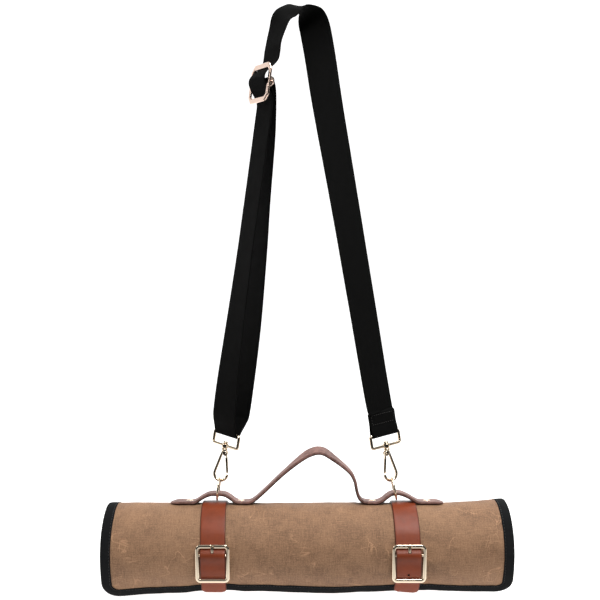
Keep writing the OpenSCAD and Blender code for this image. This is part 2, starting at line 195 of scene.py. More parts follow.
def mat_canvas(name, light, dark, scuff=1.0, weave=0.00105):
    """Waxed cotton: plain weave with uneven threads, cloudy wax, rubbed specks and a few pale creases."""
    k = NB(name)
    u = k.uv(); X, Y, _ = k.sep(u)
    big = k.noise(u, 7, 3, 0.55)
    med = k.noise(u, 45, 5, 0.68, 0.3)
    thx = k.noise(k.uv(1.0, 14.0), 70, 3, 0.6)      # slubs along the warp
    thy = k.noise(k.uv(14.0, 1.0), 70, 3, 0.6)      # and the weft
    fine = k.noise(u, 620, 3, 0.7)
    wx = k.wave(X, weave); wy = k.wave(Y, weave)
    wv = k.math("MAXIMUM", k.math("MULTIPLY", wx, k.math("SUBTRACT", 1.0, wy)), k.math("MULTIPLY", wy, k.math("SUBTRACT", 1.0, wx)))
    base = k.mix(k.ramp(big, [(0.35, 0.0), (0.65, 1.0)]), dark, light)
    base = k.mix(k.math("MULTIPLY", k.ramp(med, [(0.42, 0.0), (0.68, 1.0)]), 0.6), base, tuple(min(1, c*1.3) for c in light))
    base = k.mix(k.math("MULTIPLY", k.ramp(med, [(0.30, 1.0), (0.48, 0.0)]), 0.36), base, (dark[0]*0.74, dark[1]*0.66, dark[2]*0.68))
    th = k.math("MULTIPLY", k.math("ADD", thx, thy), 0.5)
    base = k.mix(k.math("MULTIPLY", k.ramp(th, [(0.48, 0.0), (0.62, 1.0)]), 0.42), base, tuple(min(1, c*1.55) for c in light))
    base = k.mix(k.math("MULTIPLY", k.ramp(th, [(0.36, 1.0), (0.48, 0.0)]), 0.30), base, tuple(c*0.6 for c in dark))
    base = k.mix(k.math("MULTIPLY", k.math("SUBTRACT", 1.0, wv), 0.20), base, tuple(c*0.45 for c in dark))
    base = k.mix(k.math("MULTIPLY", k.ramp(fine, [(0.50, 0.0), (0.70, 1.0)]), 0.38), base, tuple(min(1, c*1.6) for c in light))
    base = k.mix(k.math("MULTIPLY", k.ramp(fine, [(0.32, 1.0), (0.50, 0.0)]), 0.30), base, tuple(c*0.55 for c in dark))
    # pale rubbed creases: short thin lines where stretched noises cross a level
    s1 = k.noise(k.uv(1.0, 2.6), 15, 2, 0.5, 0.6)
    l1 = k.math("SUBTRACT", 1.0, k.math("MULTIPLY", k.math("ABSOLUTE", k.math("SUBTRACT", s1, 0.5)), 75), clamp=True)
    s2 = k.noise(k.uv(2.4, 0.9), 21, 2, 0.5, 0.8)
    l2 = k.math("SUBTRACT", 1.0, k.math("MULTIPLY", k.math("ABSOLUTE", k.math("SUBTRACT", s2, 0.5)), 85), clamp=True)
    gate = k.ramp(k.noise(u, 24, 2), [(0.52, 0.0), (0.60, 1.0)])
    cre = k.math("MULTIPLY", k.math("MAXIMUM", l1, l2), gate)
    base = k.mix(k.math("MULTIPLY", k.math("MULTIPLY", cre, k.math("MULTIPLY_ADD", fine, 0.9, 0.25)), 0.95*scuff), base, tuple(min(1, c*1.75) for c in light))
    k.set(Base_Color=base, Roughness=k.math("MULTIPLY_ADD", med, 0.22, 0.55))
    k.b.inputs["Sheen Weight"].default_value = 0.05
    k.b.inputs["Specular IOR Level"].default_value = 0.3
    h = k.math("ADD", k.math("MULTIPLY", wv, 0.55), k.math("ADD", k.math("MULTIPLY", th, 1.2), k.math("MULTIPLY", cre, 0.4)))
    k.bump(h, 0.6, 0.0004)
    return k.m

def mat_ribbed(name, col, rib, along, depth=0.9, sheen=0.25, cross=0.0):
    """Woven tape: ribs with period rib (m) along UV axis `along`."""
    k = NB(name)
    u = k.uv(); X, Y, _ = k.sep(u)
    a = (X, Y)[along]; b = (X, Y)[1-along]
    r = k.wave(a, rib)
    th = k.wave(b, 0.0011)
    n1 = k.noise(u, 60, 4, 0.6); n2 = k.noise(u, 1500, 2)
    c = k.mix(r, tuple(x*0.45 for x in col), tuple(x*1.5 for x in col))
    c = k.mix(k.math("MULTIPLY", n1, 0.5), c, tuple(x*1.9 for x in col))
    c = k.mix(k.math("MULTIPLY", n2, 0.2), c, tuple(x*2.6 for x in col))
    k.set(Base_Color=c, Roughness=k.math("MULTIPLY_ADD", n1, 0.15, 0.62))
    k.b.inputs["Sheen Weight"].default_value = sheen
    k.b.inputs["Sheen Roughness"].default_value = 0.5
    k.b.inputs["Specular IOR Level"].default_value = 0.04
    h = k.math("ADD", r, k.math("MULTIPLY", th, 0.25))
    k.bump(h, depth, 0.00035)
    return k.m

def mat_leather(name, col, edge, half, rough=0.42, edge_w=0.0016):
    """Leather strip; UV x runs from -half to half across it."""
    k = NB(name)
    u = k.uv(); X, Y, _ = k.sep(u)
    big = k.noise(u, 30, 4, 0.6); med = k.noise(u, 160, 4, 0.65)
    v = k.n("ShaderNodeTexVoronoi", feature="DISTANCE_TO_EDGE"); k.l(u, v.inputs["Vector"]); v.inputs["Scale"].default_value = 900
    pore = k.ramp(v.outputs["Distance"], [(0.0, 0.0), (0.12, 1.0)])
    c = k.ramp(big, [(0.3, tuple(x*0.72 for x in col)), (0.7, tuple(min(1, x*1.22) for x in col))])
    c = k.mix(k.math("MULTIPLY", med, 0.35), c, tuple(min(1, x*1.35) for x in col))
    e = k.math("SUBTRACT", 1.0, k.math("DIVIDE", k.math("SUBTRACT", half, k.math("ABSOLUTE", X)), edge_w), clamp=True)
    c = k.mix(k.math("MULTIPLY", e, 0.85), c, edge)
    k.b.inputs["Specular IOR Level"].default_value = 0.22
    k.set(Base_Color=c, Roughness=k.math("MULTIPLY_ADD", med, 0.25, rough - 0.1))
    k.b.inputs["Coat Weight"].default_value = 0.05
    k.b.inputs["Coat Roughness"].default_value = 0.35
    h = k.math("ADD", k.math("MULTIPLY", pore, 0.35), k.math("MULTIPLY", med, 0.6))
    k.bump(h, 0.35, 0.0003)
    return k.m

def mat_edge_leather(name, col, edge, half):
    """Folded leather strip: UV x runs across the face, then on round the side; the folds carry dark lines, and the
    lower side and underside are darkened as painted shade.
    """
    k = NB(name)
    u = k.uv(); X, Y, _ = k.sep(u)
    big = k.noise(u, 45, 4, 0.65); med = k.noise(u, 220, 4, 0.7)
    ax = k.math("ABSOLUTE", X)
    c = k.ramp(big, [(0.34, tuple(x*0.5 for x in col)), (0.66, tuple(min(1, x*1.35) for x in col))])
    c = k.mix(k.math("MULTIPLY", k.ramp(med, [(0.45, 0.0), (0.65, 1.0)]), 0.5), c, tuple(min(1, x*1.8) for x in col))
    ln = k.math("SUBTRACT", 1.0, k.math("DIVIDE", k.math("ABSOLUTE", k.math("SUBTRACT", ax, half - 0.0002)), 0.0007), clamp=True)
    # painted shade: past the folds, the lower side and underside of the strip take the dark edge colour
    underside_shade = k.math("DIVIDE", k.math("SUBTRACT", ax, half + 0.0017), 0.0010, clamp=True)
    c = k.mix(k.math("MULTIPLY", k.math("MAXIMUM", ln, underside_shade), 0.9), c, edge)
    k.set(Base_Color=c, Roughness=k.math("MULTIPLY_ADD", med, 0.25, 0.35))
    k.b.inputs["Specular IOR Level"].default_value = 0.2
    k.b.inputs["Coat Weight"].default_value = 0.03
    k.b.inputs["Coat Roughness"].default_value = 0.35
    h = k.math("ADD", k.math("MULTIPLY", big, 1.0), k.math("MULTIPLY", med, 0.6))
    k.bump(h, 0.5, 0.0005)
    return k.m

def mat_gold(name, col=(0.90, 0.76, 0.58), rough=0.09):
    k = NB(name)
    o = k.obj()
    n1 = k.noise(o, 120, 3); n2 = k.noise(o, 900, 3)
    c = k.mix(k.math("MULTIPLY", n1, 0.35), col, tuple(x*0.82 for x in col))
    k.set(Base_Color=c, Roughness=k.math("MULTIPLY_ADD", n2, 0.10, rough - 0.04))
    k.b.inputs["Metallic"].default_value = 1.0
    k.bump(n2, 0.06, 0.0002)
    return k.m

stage_mesh()

M = {}
M["canvas"] = mat_canvas("waxed_canvas", (0.345, 0.194, 0.107), (0.24, 0.132, 0.073))
M["lining"] = mat_canvas("lining", (0.22, 0.15, 0.10), (0.14, 0.095, 0.062), 0.2, 0.0008)
M["binding"] = mat_ribbed("edge_binding", (0.0095, 0.0098, 0.0103), 0.0013, 1, 0.9, 0.0)
M["web"] = mat_ribbed("webbing", (0.0030, 0.0030, 0.0029), 0.0012, 1, 0.8, 0.0)
M["strap"] = mat_leather("strap_leather", (0.225, 0.046, 0.017), (0.04, 0.010, 0.005), 0.0145, 0.34)
# handle: the dark edge colour paints both the fold lines and the painted shade on the strip's lower side and underside
M["handle"] = mat_edge_leather("handle_leather", (0.235, 0.125, 0.104), (0.022, 0.010, 0.009), 0.009)
M["gold"] = mat_gold("gold_metal")
M["rose"] = mat_gold("rose_gold", (0.93, 0.70, 0.58), 0.12)
M["steel"] = mat_gold("spring_steel", (0.62, 0.62, 0.62), 0.25)
M["thread"] = mat_ribbed("thread", (0.03, 0.028, 0.026), 0.0005, 1, 0.6, 0.2)
M["hole"] = flat_mat("hole_dark", (0.02, 0.01, 0.008), 0.9)

# ------------------------------------------------------------------ mesh helpers (mm in, metres out)
def build(name, verts, faces, mat, uv=None, loop_uv=None, smooth=True, body=None, rep=(), slot=None):
    me = bpy.data.meshes.new(name)
    me.from_pydata((np.asarray(verts, float)*MM).tolist(), [], [tuple(int(i) for i in f) for f in faces])
    me.update()
    lay = me.uv_layers.new(name="w")
    if uv is not None:
        li = np.empty(len(me.loops), dtype=np.int32); me.loops.foreach_get("vertex_index", li)
        lay.data.foreach_set("uv", (np.asarray(uv, float)[li]*MM).astype(np.float32).ravel())
    if smooth:
        me.polygons.foreach_set("use_smooth", [True]*len(me.polygons))
    me.materials.append(M[mat] if isinstance(mat, str) else mat)
    o = bpy.data.objects.new(name, me)
    scene.collection.objects.link(o)
    if body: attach(o, body)
    if rep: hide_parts(*rep)
    return o

def smooth01v(v):
    v = np.clip(v, 0, 1); return v*v*(3 - 2*v)

def unit(a):
    a = np.asarray(a, float)
    return a/np.maximum(np.linalg.norm(a, axis=-1, keepdims=True), 1e-12)

def tang(P, closed=False):
    P = np.asarray(P, float)
    if closed: return unit(np.roll(P, -1, 0) - np.roll(P, 1, 0))
    return unit(np.gradient(P, axis=0))

def arclen(P):
    return np.concatenate([[0], np.cumsum(np.linalg.norm(np.diff(P, axis=0), axis=1))])

def cr(P, n):
    """Catmull-Rom through the rows of P, n steps a span."""
    P = np.asarray(P, float); m = len(P); out = []
    for i in range(m-1):
        a, b, c, d = P[max(i-1, 0)], P[i], P[i+1], P[min(i+2, m-1)]
        for k in range(n):
            t = k/n
            out.append(0.5*(2*b + (c-a)*t + (2*a-5*b+4*c-d)*t*t + (3*b-a-3*c+d)*t**3))
    out.append(P[-1]); return np.array(out)

def resample(P, step, *extra):
    s = arclen(P[:, :3]); n = max(2, int(round(s[-1]/step)))
    t = np.linspace(0, s[-1], n+1)
    return np.stack([np.interp(t, s, P[:, k]) for k in range(P.shape[1])], 1)

def sweep(name, P, W, N, sec, mat, closed=False, caps=True, su=None, s0=0.0, **kw):
    """Sweep a closed section (m,2) of (across, out) along P. sec may be (n,m,2). UV is (across, length)."""
    P = np.asarray(P, float); n = len(P)
    sec = np.asarray(sec, float)
    if sec.ndim == 2: sec = np.broadcast_to(sec, (n,)+sec.shape)
    m = sec.shape[1]
    V = P[:, None, :] + W[:, None, :]*sec[:, :, 0:1] + N[:, None, :]*sec[:, :, 1:2]
    s = arclen(P) + s0
    U = np.stack([sec[:, :, 0] if su is None else np.broadcast_to(su, (n, m)), np.broadcast_to(s[:, None], (n, m))], 2)
    V = V.reshape(-1, 3); U = U.reshape(-1, 2)
    F = []
    rings = n if closed else n-1
    for i in range(rings):
        a = i*m; b = ((i+1) % n)*m
        for j in range(m):
            k2 = (j+1) % m
            F.append((a+j, b+j, b+k2, a+k2))
    if caps and not closed:
        F.append(tuple(range(m)))
        F.append(tuple((n-1)*m + j for j in range(m-1, -1, -1)))
    return build(name, V, F, mat, uv=U, **kw)

def round_sec(w, t, r=None, nc=4, nw=8, dome=0.0):
    """Rounded rectangle section w by t, counter-clockwise, dome lifts the top's middle."""
    r = min(t, w)/2*0.98 if r is None else r
    hw, ht = w/2, t/2
    pts = []
    for cx, cy, a0 in ((hw-r, ht-r, 0), (-hw+r, ht-r, 90), (-hw+r, -ht+r, 180), (hw-r, -ht+r, 270)):
        arc = [(cx + r*cos(radians(a0+90*k/nc)), cy + r*sin(radians(a0+90*k/nc))) for k in range(nc+1)]
        pts += arc
        if a0 in (0, 180):
            x0 = arc[-1][0]; x1 = -x0
            for k in range(1, nw):
                pts.append((x0 + (x1-x0)*k/nw, arc[-1][1]))
    P = np.array(pts)
    if dome:
        top = P[:, 1] > 0
        P[top, 1] += dome*(1 - (P[top, 0]/hw)**2)
    return P

def circ(r, n=16, ry=None):
    a = np.linspace(0, 2*pi, n, endpoint=False)
    return np.stack([r*np.cos(a), (ry or r)*np.sin(a)], 1)

def pframe(P, ref, closed=False):
    """Side and normal axes along P from a reference side direction."""
    T = tang(P, closed); ref = np.asarray(ref, float)
    if ref.ndim == 1: ref = np.broadcast_to(ref, T.shape)
    W = unit(ref - (ref*T).sum(1, keepdims=True)*T)
    return W, np.cross(T, W)

def tube(name, P, r, mat, ref=(0, 1, 0), closed=False, n=16, taper=None, **kw):
    W, N = pframe(P, ref, closed)
    sec = circ(r, n)
    if taper is not None:
        sec = np.array([sec*t for t in taper])
    # section runs counter-clockwise seen against the tangent, so N is turned over
    return sweep(name, P, W, N, sec[..., ::-1] if False else sec, mat, closed=closed, **kw)

def join(name, objs, **kw):
    """Join several built objects into one."""
    with bpy.context.temp_override(active_object=objs[0], selected_editable_objects=objs, object=objs[0], selected_objects=objs):
        bpy.ops.object.join()
    o = objs[0]; o.name = name; o.data.name = name
    return o

def fix_normals(o):
    import bmesh
    bm = bmesh.new(); bm.from_mesh(o.data)
    bmesh.ops.recalc_face_normals(bm, faces=bm.faces[:])
    bm.to_mesh(o.data); bm.free()

def sharp(o, deg=40):
    """Mark edges sharper than deg so that smooth shading stops there."""
    import bmesh
    bm = bmesh.new(); bm.from_mesh(o.data)
    for e in bm.edges:
        e.smooth = not (len(e.link_faces) == 2 and e.calc_face_angle(0) > radians(deg))
    bm.to_mesh(o.data); bm.free()

def cut(o, *cutters):
    """Take the cutters' solids out of o for good, and remove the cutters."""
    for c in cutters:
        m = o.modifiers.new("cut", "BOOLEAN"); m.operation = "DIFFERENCE"; m.object = c; m.solver = "EXACT"
    dg = bpy.context.evaluated_depsgraph_get()
    me = bpy.data.meshes.new_from_object(o.evaluated_get(dg), depsgraph=dg)
    o.modifiers.clear()
    old = o.data; me.name = old.name; o.data = me; bpy.data.meshes.remove(old)
    for c in cutters:
        cm = c.data; bpy.data.objects.remove(c); bpy.data.meshes.remove(cm)

def to_world(o_pts, fr):
    """Local points (x, y, z) in a placed frame."""
    B, X, Y, Z = fr
    p = np.asarray(o_pts, float)
    return B + p[..., 0:1]*X + p[..., 1:2]*Y + p[..., 2:3]*Z

# ------------------------------------------------------------------ frames that repeat the CAD's
LEAN = radians(9)
def up_of(s, l): return np.array([s*sin(l), 0, cos(l)])
def across_of(s, l, az):
    T = up_of(s, l); W = np.array([cos(radians(az)), sin(radians(az)), 0]); return unit(W - (W@T)*T)
def place(B, s, l, az, mir=1):
    T = up_of(s, l); W = across_of(s, l, az)
    return np.array(B, float), mir*W, np.cross(T, W), T
def off(B, s, l, az, a, b):
    T = up_of(s, l); W = across_of(s, l, az); p = np.array(B) + a*np.cross(W, T) + b*T
    return [*p, *W]
def legs(rows): return [[q[0], q[1], q[2], cos(radians(q[3])), sin(radians(q[3])), q[4] if len(q) > 4 else 0] for q in rows]
LB = [-85.4, -11, -509.4]; RB = [102.3, -11, -509.4]
ROLL = np.array([10.0, -11.0, -644.0])

# ------------------------------------------------------------------ shoulder strap
SC = [-36.3, -16, -91]; SL = radians(7.75)
def front(z, y, az, g=0):
    A = radians(az)
    return [SC[0] + (z - SC[2])*math.tan(SL) - g*sin(A), y + g*cos(A), z, cos(A), sin(A), 0]
route = [off(RB, -1, LEAN, 32, a, b) for a, b in ((-1.3, 26), (-1.3, 18), (-1.5, 11), (-2.6, 4), (-2.3, -1.3), (0, -2.65), (2.3, -1.3), (2.6, 4), (1.5, 11), (1.3, 18), (1.3, 26))]
route += legs([[95, -10, -470, 32], [75, -6, -350, 28], [55, -1, -230, 22], [36, 4, -120, 10], [27, 7, -61, 2], [23, 8, -37, -3],
   [19, 7.5, -18, -12, 0.04], [14, 6, -6, -24, -0.18], [8, 3, 1, -34, -0.34], [0, 0, 4, -42, -0.3], [-8, -3.5, 0.6, -50, -0.38], [-15, -7.5, -6.2, -55, -0.6],
   [-21, -11, -15, -58, -0.5], [-25.5, -13.5, -28.5, -58, -0.25]])
route += [front(*q) for q in ((-46, -16, -58), (-60, -16, -58), (-91, -16, -58), (-132, -16, -58), (-240, -16, -58), (-292, -16, -58), (-370, -17, -53), (-436, -18.5, -47))]
loop_left = [off(LB, 1, LEAN, -42, a, b) for a, b in ((10.5, 28), (8.5, 16), (4.6, 6), (2.7, .6), (2, -1.9), (0, -2.75), (-2, -1.9), (-2.7, .6), (-5, 6), (-10.5, 16), (-13.5, 28))]
back_run = [front(*q) for q in ((-436, -18.5, -47, 26), (-370, -17, -53, 24), (-292, -16, -57, 19), (-230, -16, -58, 14), (-160, -16, -58, 9.3))]

def band(names, rows, bulge=None, w=38.0, t=1.5, cuts=None, **kw):
    P = resample(cr(rows, 10), 1.2)
    V = P[:, 3:6]; P = P[:, :3]
    T = tang(P); W = unit(V - (V*T).sum(1, keepdims=True)*T)
    N = np.cross(W, T)
    if bulge is not None:
        P = P + N*bulge(P)[:, None]
        T = tang(P); W = unit(V - (V*T).sum(1, keepdims=True)*T); N = np.cross(W, T)
    sec = round_sec(w, t, nc=3, nw=12)
    # woven selvedge: the edges are a touch thicker, the middle cups very slightly
    s = arclen(P)
    secs = np.broadcast_to(sec, (len(P),)+sec.shape).copy()
    wob = np.array([noise.noise(Vector((0.013*x, 3.1, 0.7))) for x in s])
    cup = (secs[:, :, 0]/(w/2))**2
    secs[:, :, 1] += (0.35*wob)[:, None]*cup
    secs[:, :, 0] *= (1 + 0.006*np.array([noise.noise(Vector((0.03*x, 1.3, 5.7))) for x in s]))[:, None]
    # one run, cut across where its parts follow different bodies
    ends = [0] + (cuts(P) if cuts else []) + [len(P)-1]; out = []
    for i, nm in enumerate(names):
        a, b = ends[i], ends[i+1]
        o = sweep(nm, P[a:b+1], W[a:b+1], N[a:b+1], secs[a:b+1], "web", s0=s[a], slot="webbing", **(kw if i == 0 else {}))
        fix_normals(o); sharp(o, 50); out.append(o)
    return out, P, W, N

def slider_bulge(P):
    T = up_of(1, SL); d = (P - np.array(SC)) @ T
    near = (np.abs(P[:, 1] + 16) < 2.5) & (np.abs(d) < 30)
    return np.where(near, -15.5*np.cos(pi*np.clip(d, -30, 30)/60)**2.6, 0)

def strap_cuts(P): return [int(np.argmax(P[:, 2])), int(np.argmin(np.linalg.norm(P - (np.array(SC) - 14*np.array([0.85, 0.53, 0])), axis=1)))]
(strap, strap_up, strap_down), sP, sW, sN = band(["shoulder_webbing_run", "shoulder_webbing_upper", "shoulder_webbing_lower"], route + loop_left[:6], slider_bulge, cuts=strap_cuts, body="shoulder_strap", rep=["shoulder_webbing"])
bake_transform(strap_up)
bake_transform(strap_down)
FS = 1
fold2 = [(FS*(-6.2), -40), (FS*(-4.6), -28), (FS*(-2.8), -17), (FS*(-0.6), -8), (FS*1.9, -2.5), (FS*2.6, 0.2), (FS*4.2, 1.9), (FS*6.4, 2.2), (FS*8.2, 0.9), (FS*8.6, -1.5), (FS*7.6, -4.5), (FS*5.4, -8.5), (FS*2.0, -14), (FS*(-1.2), -19)]
(ret,), rP, rW, rN = band(["webbing_return_run"], loop_left[5:] + back_run + [off(SC, 1, SL, -58, a, b) for a, b in fold2], rep=["slider_fold"])
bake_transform(ret)

def stitches(name, P, W, N, us, s0, s1, h, body, step=3.2, ln=2.2, r=0.28, mat="thread", across=False, blend=None):
    """Rows of short thread stitches on a swept band: at each across-offset in us from length s0 to s1, lifted h."""
    s = arclen(P); V = []; F = []; U = []
    def at(sv, u):
        p = np.array([np.interp(sv, s, P[:, k]) for k in range(3)]); ww = unit(np.array([np.interp(sv, s, W[:, k]) for k in range(3)])); nn = unit(np.array([np.interp(sv, s, N[:, k]) for k in range(3)]))
        return p + u*ww + h*nn, ww, nn
    runs = []
    if across:
        for sv in (s0, s1):
            u = us[0]
            while u + ln <= us[1]:
                runs.append((at(sv, u), at(sv, u+ln))); u += step
    else:
        for u in us:
            sv = s0
            while sv + ln <= s1:
                runs.append((at(sv, u), at(sv+ln, u))); sv += step
    for (a, w1, n1), (b, _, n2) in runs:
        add_stitch(V, F, U, a, b, n1, r)
    o = build(name, V, F, mat, uv=U, body=body)
    fix_normals(o)
    return o

def add_stitch(V, F, U, a, b, n, r):
    d = unit(b - a); sd = np.cross(n, d); L = np.linalg.norm(b - a); k = 8; rings = [(-0.0, 0.35), (0.12, 0.85), (0.5, 1.0), (0.88, 0.85), (1.0, 0.35)]
    base = len(V)
    for f, sc in rings:
        lift = r*0.9*sin(pi*min(max(f, 0), 1)) - r*0.35
        for j in range(k):
            an = 2*pi*j/k
            V.append(a + d*(L*f) + (sd*cos(an)*r + n*(sin(an)*r*0.8))*sc + n*lift); U.append((r*an, L*f))
    for i in range(len(rings)-1):
        for j in range(k):
            j2 = (j+1) % k
            F.append((base+i*k+j, base+(i+1)*k+j, base+(i+1)*k+j2, base+i*k+j2)[::-1])
    F.append(tuple(base+j for j in range(k))); F.append(tuple(base+(len(rings)-1)*k+j for j in range(k-1, -1, -1)))

# stitched end tab at the right eye: two rows across, two along, on the face that shows
sl = arclen(sP)
top_i = np.argmin(np.linalg.norm(sP - np.array(off(RB, -1, LEAN, 32, 1.3, 22)[:3]), axis=1) + 1e3*(np.arange(len(sP)) < 30))
s_tab = sl[top_i]
stitches("tab_stitches_across", sP, sW, sN, (-16.5, 16.5), s_tab-9, s_tab+2, 0.78, "shoulder_strap", across=True)
stitches("tab_stitches_along", sP, sW, sN, (-16.5, 16.5), s_tab-8, s_tab+1, 0.78, "shoulder_strap")

# ------------------------------------------------------------------ eyes, hooks, rings, slider
def rrect_path(w, h, r, n=7, step=None):
    pts = []
    for cx, cz, a0 in ((w/2-r, h/2-r, 0), (-w/2+r, h/2-r, 90), (-w/2+r, -h/2+r, 180), (w/2-r, -h/2+r, 270)):
        pts += [(cx + r*cos(radians(a0+90*k/n)), cz + r*sin(radians(a0+90*k/n))) for k in range(n+1)]
    P = []
    m = len(pts)
    for i in range(m):
        a = np.array(pts[i]); b = np.array(pts[(i+1) % m]); d = np.linalg.norm(b-a)
        k = max(1, int(d/(step or 2.5)))
        for j in range(k): P.append(a + (b-a)*j/k)
    return np.array(P)

def superell(a, b, e=3.0, n=20):
    t = np.linspace(0, 2*pi, n, endpoint=False)
    return np.stack([a*np.sign(np.cos(t))*np.abs(np.cos(t))**(2/e), b*np.sign(np.sin(t))*np.abs(np.sin(t))**(2/e)], 1)

def closed_frame(name, path2, fr, sec, mat, y=0.0, **kw):
    """Closed wire along a 2-D path in the local x-z plane; section (in-plane, depth)."""
    P3 = np.stack([path2[:, 0], np.full(len(path2), y), path2[:, 1]], 1)
    Tn = tang(P3, True); Nrm = np.broadcast_to([0.0, 1.0, 0.0], Tn.shape); Wd = np.cross(Nrm, Tn)
    o = sweep(name, to_world(P3, fr), rot(Wd, fr), rot(Nrm, fr), sec, mat, closed=True, **kw)
    fix_normals(o)
    return o

def rot(v, fr):
    v = np.asarray(v, float)
    return v[..., 0:1]*fr[1] + v[..., 1:2]*fr[2] + v[..., 2:3]*fr[3]

def lathe(name, prof, fr, mat, n=28, ring=False, **kw):
    """Revolve (r, z) about the local z axis; the ends close on the axis, or with ring the profile closes on itself."""
    V = []; F = []; U = []
    m = len(prof)
    for i, (r, z) in enumerate(prof):
        for j in range(n):
            a = 2*pi*j/n
            V.append((r*cos(a), r*sin(a), z)); U.append((r*a, z))
    for i in range(m-1):
        for j in range(n):
            j2 = (j+1) % n
            F.append((i*n+j, i*n+j2, (i+1)*n+j2, (i+1)*n+j))
    if ring:
        for j in range(n):
            j2 = (j+1) % n
            F.append(((m-1)*n+j, (m-1)*n+j2, j2, j))
    else:
        F.append(tuple(range(n-1, -1, -1))); F.append(tuple((m-1)*n+j for j in range(n)))
    o = build(name, to_world(np.array(V), fr), F, mat, uv=U, **kw)
    fix_normals(o)
    return o

def rodmesh(name, a, b, r, fr, mat, n=18, ends=0.25, **kw):
    """Round bar from a to b with softened ends, in a local frame."""
    a = np.array(a, float); b = np.array(b, float); L = np.linalg.norm(b-a)
    e = min(ends, r*0.6)
    st = [(0, 0.0001), (0, 1-e/r), (e*0.3, 1-0.25*e/r), (e, 1), (L-e, 1), (L-e*0.3, 1-0.25*e/r), (L, 1-e/r)]
    d = unit(b-a); ref = np.array([0, 1, 0]) if abs(d[1]) < 0.9 else np.array([1, 0, 0])
    s = unit(np.cross(d, ref)); t = np.cross(d, s)
    V = []; U = []; F = []
    for z, k in st[1:]:
        for j in range(n):
            an = 2*pi*j/n
            V.append(a + d*z + (s*cos(an) + t*sin(an))*r*k); U.append((r*an, z))
    m = len(st)-1
    for i in range(m-1):
        for j in range(n):
            F.append((i*n+j, i*n+(j+1) % n, (i+1)*n+(j+1) % n, (i+1)*n+j))
    F.append(tuple(range(n))); F.append(tuple((m-1)*n+j for j in range(n)))
    o = build(name, to_world(np.array(V), fr), F, mat, uv=U, **kw)
    fix_normals(o)
    return o

def eye(side, B, s, az):
    fr = place(B, s, LEAN, az)
    body = "shoulder_strap"
    path = rrect_path(42, 15, 2.6) + np.array([0, -7.5])
    wire = closed_frame(side + "_eye_wire", path, fr, superell(1.78, 1.78, 2.3), "gold", body=body, rep=[side + "_eye"], slot="gold_metal")
    boss = [(1.85, -17.6), (3.4, -17.6), (3.85, -17.3), (3.95, -16.8), (3.95, -13.2), (3.8, -12.7), (3.4, -12.4), (1.85, -12.4)]
    lathe(side + "_eye_boss", boss, fr, "gold", ring=True, body=body, slot="gold_metal")
    return fr
eye("left", LB, 1, -42)
eye("right", RB, -1, 32)

def hook(side, B, s, az, mir):
    fr = place(B, s, LEAN, az, mir)
    body = side + "_hook"
    # body wire: neck, straight spine, round bottom, short nose; the section is a rounded square that swells at the bottom
    pts = [(-0.9, -20.4), (-1.9, -23), (-3.4, -29), (-5.0, -36), (-6.7, -43), (-7.7, -47.5)]
    pts += [(-8*cos(a), -49.2 - 8*sin(a)) for a in np.linspace(0.15, pi-0.02, 15)]
    pts += [(8, -48.6)]
    P2 = cr(np.array(pts), 3)
    P3 = np.stack([P2[:, 0], 0*P2[:, 0], P2[:, 1]], 1)
    T = tang(P3); Nr = np.broadcast_to([0.0, 1.0, 0.0], T.shape); Wd = np.cross(Nr, T)
    L = arclen(P3); f = L/L[-1]
    k = 0.86 + 0.14*np.clip(f/0.25, 0, 1)
    k = k*np.where(f > 0.985, 0.9, 1)
    secs = np.array([superell(1.68*q, 1.68*q, 2.1) for q in k])
    o = sweep(side + "_hook_wire", to_world(P3, fr), rot(Wd, fr), rot(Nr, fr), secs, "gold", body=body, rep=[side + "_hook_body", side + "_swivel_post"], slot="gold_metal")
    fix_normals(o)
    neck = [(0.6, -22.6), (2.2, -22.5), (3.0, -21.9), (3.5, -21.0), (3.6, -19.6), (3.3, -18.4), (2.6, -17.95), (0.5, -17.95)]
    lathe(side + "_hook_neck", neck, fr, "gold", body=body, slot="gold_metal")
    post = [(0.3, -18.4), (1.68, -18.4), (1.68, -12.15), (2.6, -12.1), (2.95, -11.8), (3.0, -11.0), (2.6, -10.2), (1.6, -9.8), (0.3, -9.75)]
    lathe(side + "_post_pin", post, fr, "gold", body=body, slot="gold_metal")
    for i, y in enumerate((-2.5, 2.5)):
        cheek(f"{side}_hook_cheek_{i}", y, fr, body)
    # the pin through both cheeks, with its ends peened over
    rodmesh(side + "_gate_rivet", (2.9, -3.45, -24.5), (2.9, 3.45, -24.5), 0.95, fr, "gold", body=body, rep=[side + "_gate_pin"], slot="gold_metal")
    # gate
    gb = side + "_gate_arm"
    A = np.array([2.9, 0, -24.5]); d = np.array([sin(radians(12.5)), 0, -cos(radians(12.5))])
    st = [(3.0, 1.0, 0.95), (4.5, 1.42, 1.3), (7, 1.5, 1.42), (18, 1.5, 1.45), (21.2, 1.45, 1.4), (22.8, 1.1, 1.1), (23.4, 0.5, 0.5)]
    G = np.array([A + d*q[0] for q in st]); Tn = tang(G); Nr = np.broadcast_to([0.0, 1.0, 0.0], Tn.shape); Wd = np.cross(Nr, Tn)
    g = sweep(side + "_gate_lever", to_world(G, fr), rot(Wd, fr), rot(Nr, fr), np.array([superell(q[1], q[2], 2.8) for q in st]), "gold", body=gb, rep=[side + "_gate"], slot="gold_metal")
    fix_normals(g)
    lg = rodmesh(side + "_gate_lug", (2.9, -1.15, -24.5), (2.9, 1.15, -24.5), 2.0, fr, "gold", body=gb, slot="gold_metal")
    web = [A + d*q for q in (0.5, 4.5)]
    rodmesh(side + "_gate_web", web[0], web[1], 1.1, fr, "gold", body=gb, slot="gold_metal")

